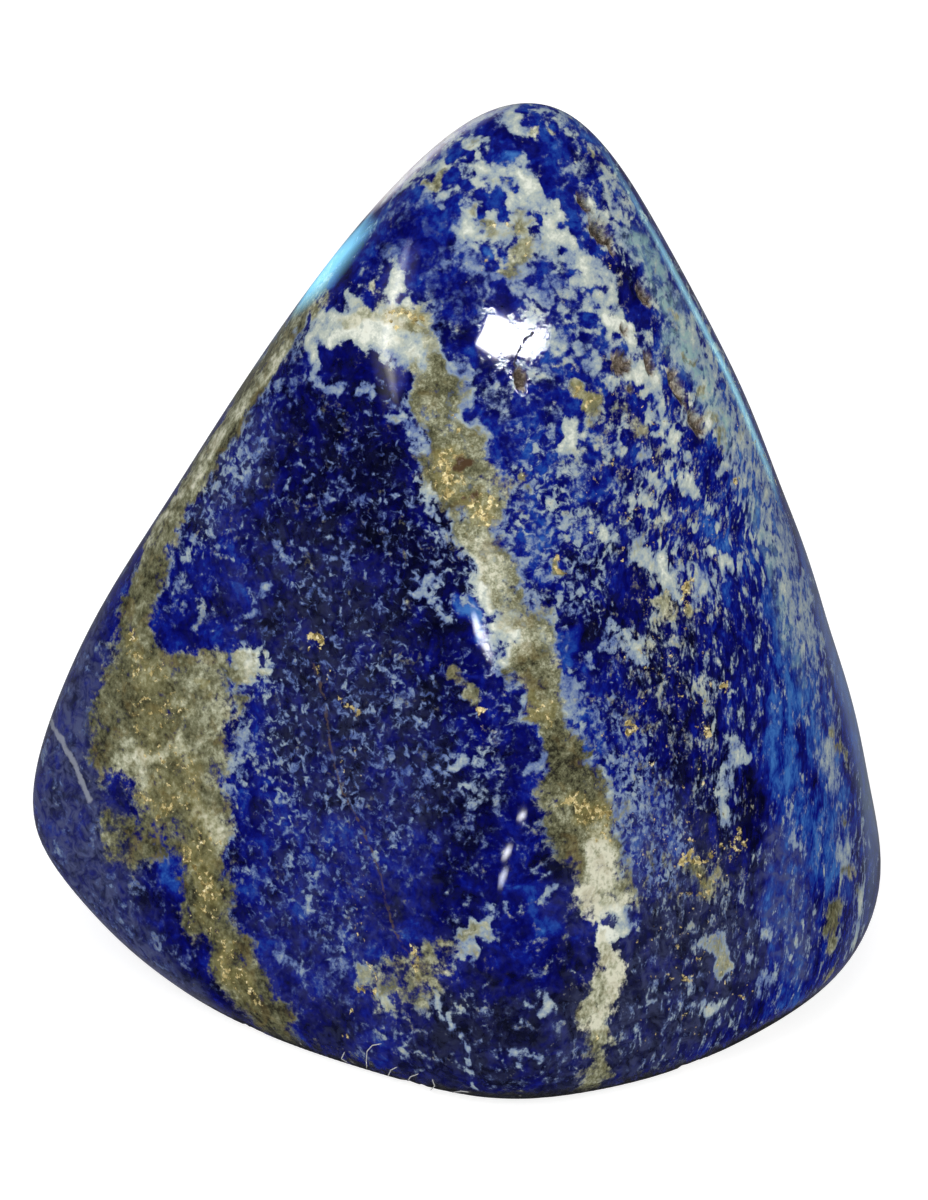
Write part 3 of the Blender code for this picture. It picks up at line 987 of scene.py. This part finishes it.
def hairlineGroup():
    # A mask along a straight line in space: the distance to the stretch between two points,
    # turned over so that it is whole on the line and nothing past the width.
    group, given, result = newGroup("hairline", [
        ("Place", "NodeSocketVector", None),
        ("From", "NodeSocketVector", (0, 0, 0)),
        ("To", "NodeSocketVector", (0, 0, 1)),
        ("Width", "NodeSocketFloat", 0.0001),
    ], [("Mask", "NodeSocketFloat")])
    reach = vectorMaths(group, "SUBTRACT", given["Place"], given["From"])
    line = vectorMaths(group, "SUBTRACT", given["To"], given["From"])
    inner = vectorMaths(group, "DOT_PRODUCT", reach, line)
    square = vectorMaths(group, "DOT_PRODUCT", line, line)
    share = maths(group, "MINIMUM", maths(group, "MAXIMUM", maths(group, "DIVIDE", inner, square), 0.0), 1.0)
    away = vectorMaths(group, "DISTANCE", reach, vectorMaths(group, "SCALE", line, scale=share))
    made = addNode(group, "ShaderNodeMapRange", {
        "Value": away, "From Min": maths(group, "MULTIPLY", given["Width"], 0.4), "From Max": given["Width"],
        "To Min": 1.0, "To Max": 0.0,
    }, interpolation_type="SMOOTHSTEP")
    group.links.new(made.outputs["Result"], result["Mask"])
    return group


hairline = hairlineGroup()
layeredPlace = foliationGroup()
brokenDetail = fractalGroup()
mineralEdge = edgeGroup()

# Hairlines in picture pixels, with half their width in metres
hairlines = {
    "paleStreak": (0.00040, ((46, 712), (60, 737), (75, 764), (90, 800))),
    "windowCrack": (0.00013, ((533, 333), (524, 342), (518, 352), (515, 364), (519, 372))),
    "leftVeinlet": (0.00016, (
        (312, 662), (325, 700), (330, 745), (340, 785), (352, 810), (366, 836), (378, 868), (386, 900),
        (394, 930), (408, 954))),
}

# Noises behind the minerals. Layered ones are thin across the stone's layers. Each has its scale,
# octaves, roughness, spread, offset and curl
noises = {
    "mottle":       ("layered", 620, 6, 0.52, 6.5, (0, 0, 0), 0.7),
    "smallFlecks":  ("layered", 1350, 5, 0.56, 6.5, (0.4, 0.8, 0.9), 0.6),
    "roundFlecks":  ("layered", 760, 2, 0.5, 6.5, (0.8, 0.2, 0.6), 0.5),
    "fine":         ("layered", 2100, 3, 0.55, 4.0, (0.1, 0.2, 0.3), 0.0),
    "broad":        ("layered", 170, 5, 0.6, 5.0, (0.5, 0.3, 0.1), 0.0),
    "blueDrift":    ("layered", 380, 6, 0.62, 6.0, (0.7, 0.6, 0.2), 0.5),
    "speck":        ("plain", 5200, 2, 0.6, 3.0, (0.3, 0.1, 0.5), 0.0),
    "veil":         ("plain", 950, 5, 0.6, 6.0, (0.9, 0.4, 0.7), 0.8),
    "whiteDrift":   ("plain", 800, 5, 0.6, 5.0, (0.2, 0.9, 0.4), 0.0),
    "oliveStreaks": ("plain", 300, 6, 0.55, 6.0, (0.35, 0.55, 0.15), 1.0),
    "ochrePatches": ("plain", 560, 4, 0.6, 6.0, (0.25, 0.65, 0.95), 0.6),
    "cluster":      ("plain", 520, 3, 0.6, 5.0, (0.6, 0.1, 0.8), 0.0),
    "grains":       ("plain", 1800, 3, 0.6, 5.0, (0.15, 0.75, 0.35), 0.0),
}

# Sums of painted fields, noises and masks, each with its weight. A later sum may use an earlier one
sums = {
    "blueHeight":  {"tone": 1, "blueDrift": 1, "fine": 0.45},
    "paleHeight":  {"pale": 1, "coarse": 1, "fringe": 0.5, "fine": 0.45, "speck": 0.2, "broad": 0.3},
    "whiteHeight": {"white": 1, "whiteDrift": 0.8, "paleHeight": 1, "broad": 0.5, "speck": 0.35},
    "oliveHeight": {"olive": 1, "mottle": 0.7, "fine": 0.7, "speck": 0.4},
    "oliveShade":  {"grainySpeck": 1, "fine": 1.2, "oliveStreaks": 1, "white": 1},
    "nearGold":    {"gold": 1, "oliveStreaks": 0.4},
    "goldHeight":  {"gold": 1, "cluster": 0.5, "grains": 1.3},
    "goldShade":   {"cell": 0.8, "speck": 0.2},
    "rustHeight":  {"rust": 1, "grains": 0.35},
    "veinHeight":  {"fine": 1, "mottle": 1},
    # Broken rock is paler at the pits' rims and darker the deeper it lies: that darkening is painted shade
    "rockShade":   {"mottle": 1, "fine": 1, "speck": 1, "rim": 1.4, "pitShade": -1.3},
    # Painted contact shade at the foot and under the front, broken up a little
    "footHeight":  {"footAndUnderShade": 1, "coarse": 0.28, "fine": 0.25},
    "footShade":   {"coarse": 1, "fine": 1},
    "crumble":     {"fine": 1, "speck": 1},
}

# Masks: what each is read from, the level where it rises, and how softly
masks = {
    "fringe":    ("olive", -0.6, 0.6),
    "greyVeil":  ("veil", 0.2, 1.0),
    "greenVeil": ("veil", 0.2, 0.8),
    "paleVeil":  ("paleHeight", -0.1, 0.4),
    "pale":      ("paleHeight", 0.2, 0.36),
    "olive":     ("oliveHeight", 0.0, 0.75),
    "ochre":     ("ochrePatches", 0.5, 0.5),
    "nearGold":  ("nearGold", -0.3, 0.6),
    "gold":      ("goldHeight", 0.5, 0.3),
    "rust":      ("rustHeight", 0.6, 0.3),
    "vein":      ("veinHeight", -0.25, 0.9),
    "foot":      ("footHeight", 0.6, 0.25),
}

# Ramps of colour: what each is read from, the slope and the middle of that reading, and the stops
ramps = {
    "blue": ("blueHeight", 0.25, 0.5, (
        (0.0, "#000010"), (0.22, "#01012c"), (0.44, "#020356"), (0.62, "#081478"), (0.8, "#1a3f94"),
        (1.0, "#3a6cb0"))),
    "pale": ("whiteHeight", 0.24, 0.26, (
        (0.0, "#2e4082"), (0.25, "#60729e"), (0.5, "#8d9ca8"), (0.75, "#b2bab0"), (1.0, "#dde0d4"))),
    "olive": ("oliveShade", 0.25, 0.42, (
        (0.0, "#2b2a22"), (0.24, "#54543e"), (0.46, "#727259"), (0.7, "#9ea087"), (1.0, "#d0cfba"))),
    "gold": ("goldShade", 1, 0.1, (
        (0.0, "#443a20"), (0.25, "#8c7c48"), (0.62, "#c4b27a"), (0.86, "#e6d8a4"), (1.0, "#fff2cc"))),
    "rock": ("rockShade", 0.22, 0.4, (
        (0.0, "#181410"), (0.3, "#463c32"), (0.52, "#75685a"), (0.72, "#aaa090"), (1.0, "#dcd6c8"))),
    # Painted contact shade: near black, with grey specks of dust at the top end
    "foot": ("footShade", 0.25, 0.5, (
        (0.0, "#020208"), (0.5, "#0a0a16"), (0.8, "#2a2a34"), (1.0, "#8a8a8c"))),
}

# Plain coats of colour: how much of each shows, and its colour
coats = {
    "greyVeil":    (0.5, "#464c70"),
    "greenVeil":   (0.65, "#86aaa6"),
    "paleVeil":    (0.35, "#4a5886"),
    "ochre":       (0.35, "#7a6a40"),
    "nearGold":    (0.35, "#8a8148"),
    "rust":        (1.0, "#4a3828"),
    "paleStreak":  (0.75, "#8e93a0"),
    "leftVeinlet": (0.75, "#54453c"),
    "windowCrack": (0.8, "#3a3232"),
}

finish = {
    "polishRoughness": 0.035,
    "paleRoughness": 0.07,
    "goldRoughness": 0.30,
    "brokenRoughness": 0.75,
    "goldMetallic": 0.15,
    "goldCells": 3600.0,                   # pyrite grains in a metre
    "leastVeil": 0.12,
    "lineNoise": {"Scale": 1500.0, "Detail": 3.0},
    "lineShake": 0.0007,                   # how far the hairlines wander, in metres
    "softSinks": -0.0000012,               # heights in metres
    "grainRises": 0.000012,
    "rockCrumbles": 0.00008,
    "lightBending": 1.5,
}


def lapisMaterial():
    # Painted fields and noises are added up to a height for each mineral. A mineral covers what is
    # under it where its height passes the level of its mask.
    material = bpy.data.materials.new("lapis_polished")
    material.use_nodes = True
    tree = material.node_tree
    tree.nodes.clear()

    def times(value, factor):
        return maths(tree, "MULTIPLY", value, factor)

    def plus(*terms):
        total = terms[0]
        for term in terms[1:]:
            total = maths(tree, "ADD", total, term)
        return total

    def mix(share, low, high):
        made = addNode(tree, "ShaderNodeMix", data_type="FLOAT")
        for k, value in ((0, share), (2, low), (3, high)):
            feed(tree, made.inputs[k], value)
        return made.outputs[0]

    def mask(name):
        source, level, softness = masks[name]
        return useGroup(tree, mineralEdge, Value=values[source], Level=level, Softness=softness)["Mask"]

    def shade(name):
        source, slope, middle, stops = ramps[name]
        return ramp(tree, maths(tree, "MULTIPLY_ADD", values[source], slope, middle), stops)

    def coat(below, name, cover):
        share, code = coats[name]
        return blend(tree, times(cover, share), below, hexColour(code))

    def veil(below, name, painted):
        # A painted field shows through a drifting veil that is never quite gone.
        share, code = coats[name]
        drift = maths(tree, "MULTIPLY_ADD", mask(name), share, finish["leastVeil"])
        return blend(tree, times(values[painted], drift), below, hexColour(code))

    # Every painted field, noise, mask and sum by its name
    place = addNode(tree, "ShaderNodeTexCoord").outputs["Object"]
    places = {"plain": place, "layered": useGroup(tree, layeredPlace, Place=place)["Place"]}
    values = {}
    for name in fields:
        values[name] = addNode(tree, "ShaderNodeAttribute", attribute_name=name).outputs["Fac"]
    for name, (where, scale, octaves, roughness, spread, offset, curl) in noises.items():
        values[name] = useGroup(tree, brokenDetail, Place=places[where], Scale=scale, Octaves=octaves,
                                Roughness=roughness, Spread=spread, Offset=offset, Curl=curl)["Value"]
    cells = addNode(tree, "ShaderNodeTexVoronoi", {"Vector": place, "Scale": finish["goldCells"]})
    values["cell"] = addNode(tree, "ShaderNodeSeparateColor", {"Color": cells.outputs["Color"]}).outputs[0]
    flecks = mix(values["fleck"], values["mottle"], values["smallFlecks"])
    values["coarse"] = mix(values["round"], flecks, values["roundFlecks"])
    values["grainySpeck"] = times(values["speck"], values["grainy"])
    # Where the foot and the underside are darkened as painted shade
    values["footAndUnderShade"] = maths(tree, "MAXIMUM", values["foot"], values["underShade"])
    values["fringe"] = mask("fringe")
    for name, parts in sums.items():
        values[name] = plus(*(times(values[part], weight) for part, weight in parts.items()))

    # Hairlines that wander a little
    jitter = addNode(tree, "ShaderNodeTexNoise", {"Vector": place, **finish["lineNoise"]}).outputs["Color"]
    centred = vectorMaths(tree, "SUBTRACT", jitter, (0.5, 0.5, 0.5))
    shaken = vectorMaths(tree, "ADD", place, vectorMaths(tree, "SCALE", centred, scale=finish["lineShake"]))
    lines = {}
    for name, (width, pixels) in hairlines.items():
        line = onStone(pixels)
        lines[name] = 0.0
        for a, b in zip(line[:-1], line[1:]):
            stretch = useGroup(tree, hairline, Place=shaken, From=tuple(a), To=tuple(b), Width=width)["Mask"]
            lines[name] = maths(tree, "MAXIMUM", lines[name], stretch)
    lines["leftVeinlet"] = times(lines["leftVeinlet"], mask("vein"))

    # Blue lazurite at the bottom, and every mineral over it, with a grey haze that is partly a painted
    # floor reflection, and painted shade at the foot and in the pits
    pale, olive, gold, foot = (mask(name) for name in ("pale", "olive", "gold", "foot"))
    # A grey haze, partly the stone's own grey and partly a painted reflection of the pale floor
    colour = veil(shade("blue"), "greyVeil", "greyHazeAndReflection")
    colour = coat(colour, "paleVeil", mask("paleVeil"))
    colour = blend(tree, pale, colour, shade("pale"))
    colour = veil(colour, "greenVeil", "green")
    browner = coat(shade("olive"), "ochre", mask("ochre"))
    colour = blend(tree, olive, colour, coat(browner, "nearGold", mask("nearGold")))
    colour = blend(tree, gold, colour, shade("gold"))
    colour = coat(colour, "rust", mask("rust"))
    # Painted contact shade at the foot and under the front, with grey dust specks
    colour = blend(tree, foot, colour, shade("foot"))
    for name, line in lines.items():
        colour = coat(colour, name, line)
    # Bare rock in the pits, with painted shade deeper in
    colour = blend(tree, values["pit"], colour, shade("rock"))

    softer = maths(tree, "MAXIMUM", pale, olive)
    broken = maths(tree, "MAXIMUM", maths(tree, "MAXIMUM", values["pit"], foot), lines["windowCrack"])
    roughness = mix(softer, finish["polishRoughness"], finish["paleRoughness"])
    roughness = mix(gold, roughness, finish["goldRoughness"])
    roughness = mix(broken, roughness, finish["brokenRoughness"])

    # Height: the softer minerals lie a little lower than the blue, and broken rock is crumbly
    relief = plus(
        times(softer, finish["softSinks"]),
        times(times(values["grains"], gold), finish["grainRises"]),
        times(times(values["crumble"], broken), finish["rockCrumbles"]),
    )
    bump = addNode(tree, "ShaderNodeBump", {"Height": relief, "Strength": 1.0, "Distance": 1.0})
    shader = addNode(tree, "ShaderNodeBsdfPrincipled", {
        "Base Color": colour,
        "Roughness": roughness,
        "Metallic": times(gold, finish["goldMetallic"]),
        "Normal": bump.outputs["Normal"],
        "IOR": finish["lightBending"],
    })
    addNode(tree, "ShaderNodeOutputMaterial", {"Surface": shader.outputs[0]})
    return material


lapis.data.materials.append(lapisMaterial())
print("stone finished")

# The floor is a square of pale paper that glows a little, just under the stone
floorHalf, floorSink = 3.0, 0.00001
corners = ((-floorHalf, -floorHalf), (floorHalf, -floorHalf), (floorHalf, floorHalf), (-floorHalf, floorHalf))
floorCorners = np.array([(*corner, -floorSink) for corner in corners])
floor = makeMesh("pale_floor", floorCorners, np.array(((0, 1, 2, 3),)))
floor.data.materials.append(plainMaterial("floor_paper", {
    "Base Color": (0.45, 0.45, 0.45, 1),
    "Emission Color": (1, 1, 1, 1),
    "Emission Strength": 0.82,
    "Roughness": 0.9,
    "Specular IOR Level": 0.1,
}))
floor.visible_glossy = False

# Camera
cameraData = bpy.data.cameras.new("camera")
cameraData.sensor_fit = "VERTICAL"
cameraData.sensor_height = view["sensor"]
cameraData.lens = view["sensor"] * view["distance"] / (view["pictureHeight"] * view["metresPerPixel"])
cameraData.clip_start = 0.01
cameraObject = bpy.data.objects.new("camera", cameraData)
bpy.context.scene.collection.objects.link(cameraObject)
cameraObject.location = eye
cameraObject.rotation_euler = (math.radians(90 - view["elevation"]), 0, 0)
bpy.context.scene.camera = cameraObject

# Soft studio lights: azimuth and elevation as seen from the stone, distance, side, watts and colour
lights = {
    "keyAbove":  (-25, 62, 0.9, 0.7, 5.0, (1, 0.99, 0.97)),
    "fillLeft":  (-70, 35, 0.9, 0.6, 1.6, (0.95, 0.97, 1)),
    "fillRight": (60, 40, 0.9, 0.6, 2.0, (1, 1, 1)),
    "front":     (5, 25, 1.2, 0.5, 3.0, (1, 1, 1)),
}
for name, (azimuth, elevation, distance, side, watts, colour) in lights.items():
    data = bpy.data.lights.new(name, "AREA")
    data.shape = "SQUARE"
    data.size = side
    data.energy = watts
    data.color = colour
    lamp = bpy.data.objects.new(name, data)
    bpy.context.scene.collection.objects.link(lamp)
    lamp.location = np.array(view["aim"]) + direction(azimuth, elevation) * distance
    lamp.rotation_euler = (math.radians(90 - elevation), 0, math.radians(azimuth))
    lamp.visible_glossy = False

# Bright panels that show only as reflections. A crisp one is given by its strength, its colour and
# the outline that its reflection has in the picture; a soft one by its strength, its colour, and half
# the width and the middle line of its reflection
panelDistance = 0.8
glowFall = 0.6                             # below 1 the glow stays strong until close to a line's ends
crispPanels = {
    "window": (45, (1, 1, 1), (
        (489, 313), (512, 322), (532, 327), (552, 332), (543, 345), (526, 359), (513, 354), (495, 357),
        (475, 344), (482, 332))),
}
softPanels = {
    "ridgeUpper":   (7, (1, 0.97, 0.94), 6, (
        (408, 236), (403, 262), (396, 290), (389, 318), (384, 346), (391, 374), (400, 408))),
    "ridgeHaze":    (2.2, (1, 0.97, 0.94), 18, (
        (408, 240), (400, 275), (390, 315), (386, 346), (392, 380), (400, 410))),
    "ridgeMiddle":  (45, (0.95, 0.97, 1), 5.5, ((470, 612), (478, 630), (486, 645), (497, 662))),
    "ridgeDot":     (34, (0.95, 0.97, 1), 5, ((523, 810), (522, 816), (520, 822))),
    "ridgeLowerA":  (30, (0.95, 0.97, 1), 5, ((509, 843), (507, 852), (505, 862))),
    "ridgeLowerB":  (22, (0.9, 0.95, 1), 5, ((505, 866), (503, 876), (502, 890))),
    "leftShoulder": (5, (0.25, 0.72, 1), 13, ((312, 306), (326, 278), (348, 250), (384, 218))),
    "leftTopRim":   (2.5, (1, 0.95, 0.92), 7, ((372, 216), (400, 184), (440, 148), (480, 120), (520, 104))),
    "rightRim":     (3, (0.45, 0.95, 1), 4, (
        (597, 146), (621, 180), (642, 216), (663, 252), (682, 288), (701, 324), (720, 360), (737, 396),
        (752, 432), (767, 468), (781, 504))),
    "rightEdge":    (0.4, (0.55, 0.78, 1), 9, (
        (776, 480), (806, 574), (824, 633), (841, 691), (855, 750), (865, 808), (870, 860), (861, 920),
        (838, 958))),
}


def mirrored(outline):
    # The pixels are brought onto the stone and each line of sight is mirrored there; the panel
    # stands where the mirrored lines have gone the panel distance.
    points = onStone(outline)
    normals = slopes(roundOutside, (points - shift) / scale)
    sight = unit(points - eye)
    away = sight - 2 * (sight * normals).sum(axis=1)[:, None] * normals
    return points + away * panelDistance


def makePanel(name, points, faces, glow, strength, colour):
    # A surface that gives off light by its points' glow and is clear for everything but reflections.
    panel = makeMesh(name, points, faces)
    layer = panel.data.attributes.new("glow", "FLOAT", "POINT")
    layer.data.foreach_set("value", np.array(glow, np.float32))
    material = bpy.data.materials.new(name)
    material.use_nodes = True
    tree = material.node_tree
    tree.nodes.clear()
    share = addNode(tree, "ShaderNodeAttribute", attribute_name="glow").outputs["Fac"]
    light = addNode(tree, "ShaderNodeEmission", {
        "Color": (*colour, 1), "Strength": maths(tree, "MULTIPLY", share, strength),
    })
    clear = addNode(tree, "ShaderNodeBsdfTransparent")
    whole = addNode(tree, "ShaderNodeAddShader", {0: light.outputs[0], 1: clear.outputs[0]})
    addNode(tree, "ShaderNodeOutputMaterial", {"Surface": whole.outputs[0]})
    panel.data.materials.append(material)
    panel.visible_camera = panel.visible_diffuse = panel.visible_shadow = False


for name, (strength, colour, outline) in crispPanels.items():
    makePanel(name, mirrored(outline), np.arange(len(outline))[None], np.ones(len(outline)), strength, colour)
for name, (strength, colour, half, line) in softPanels.items():
    # Three rows of points along the line: its two edges without glow and its middle with all of
    # it, less towards both ends.
    line = np.array(line, float)
    along = np.gradient(line, axis=0)
    side = unit(np.stack((-along[:, 1], along[:, 0]), axis=1))
    rows = np.stack((line - side * half, line, line + side * half), axis=1)
    place = np.arange(len(line) * 3).reshape(-1, 3)
    taper = np.sin(np.linspace(0, 1, len(line)) * math.pi) ** glowFall
    glow = np.stack((taper * 0, taper, taper * 0), axis=1).ravel()
    makePanel(name, mirrored(rows.reshape(-1, 2)), quadsBetween(place), glow, strength, colour)

# The room is white to the camera, dim on the stone, and lighter behind the stone in reflections
room = {
    "colour": (0.95, 0.96, 1, 1),
    "light": 0.05,
    "lessInReflections": -0.035,
    "behindStone": {"From Min": 0.1, "From Max": 0.7, "To Min": 0.0, "To Max": 0.12},
}
world = bpy.data.worlds.new("studio")
world.use_nodes = True
worldTree = world.node_tree
rays = addNode(worldTree, "ShaderNodeLightPath").outputs
ways = addNode(worldTree, "ShaderNodeTexCoord").outputs["Generated"]
ahead = addNode(worldTree, "ShaderNodeSeparateXYZ", {"Vector": ways}).outputs["Y"]
behind = addNode(worldTree, "ShaderNodeMapRange", {"Value": ahead, **room["behindStone"]},
                 interpolation_type="SMOOTHSTEP").outputs["Result"]
mirroredRoom = maths(worldTree, "MULTIPLY", behind, rays["Is Glossy Ray"])
dimRoom = maths(worldTree, "MULTIPLY_ADD", rays["Is Glossy Ray"], room["lessInReflections"], room["light"])
strength = maths(worldTree, "ADD", maths(worldTree, "ADD", mirroredRoom, dimRoom), rays["Is Camera Ray"])
background = worldTree.nodes["Background"].inputs
background["Color"].default_value = room["colour"]
worldTree.links.new(strength, background["Strength"])
bpy.context.scene.world = world
bpy.context.scene.view_settings.view_transform = "Standard"
bpy.context.scene.view_settings.look = "None"
print("floor, camera and lights set")
